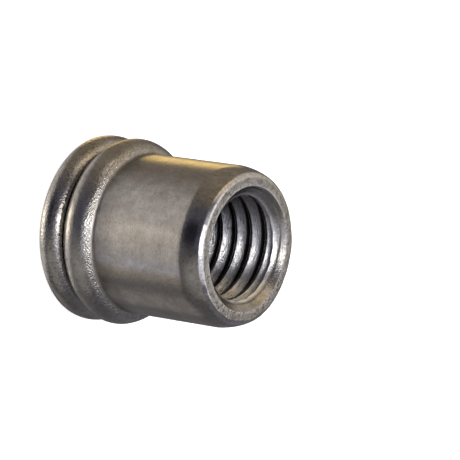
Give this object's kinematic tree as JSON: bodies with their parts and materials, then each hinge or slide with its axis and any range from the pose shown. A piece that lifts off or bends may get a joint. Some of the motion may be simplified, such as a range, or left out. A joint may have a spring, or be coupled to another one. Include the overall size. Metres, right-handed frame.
{
  "type": "rivet nut",
  "caption": "Set blind rivet nut: a flanged, threaded steel sleeve with its thin wall folded into a bulb against the flange, and a crowned open nose.",
  "frame": {"origin": "centre of the flange's flat outer face, which the nut stands on", "axes": "+Z along the nut's axis, from the flange towards the nose; X and Y are across it and alike"},
  "size_m": [0.0152, 0.0152, 0.0154],
  "materials": {
    "steel": "satin plated steel, warm grey, with fine grain on the upset bulb and bright cut edges"
  },
  "bodies": {
    "root": {"rivet_nut": "steel"}
  },
  "joints": []
}
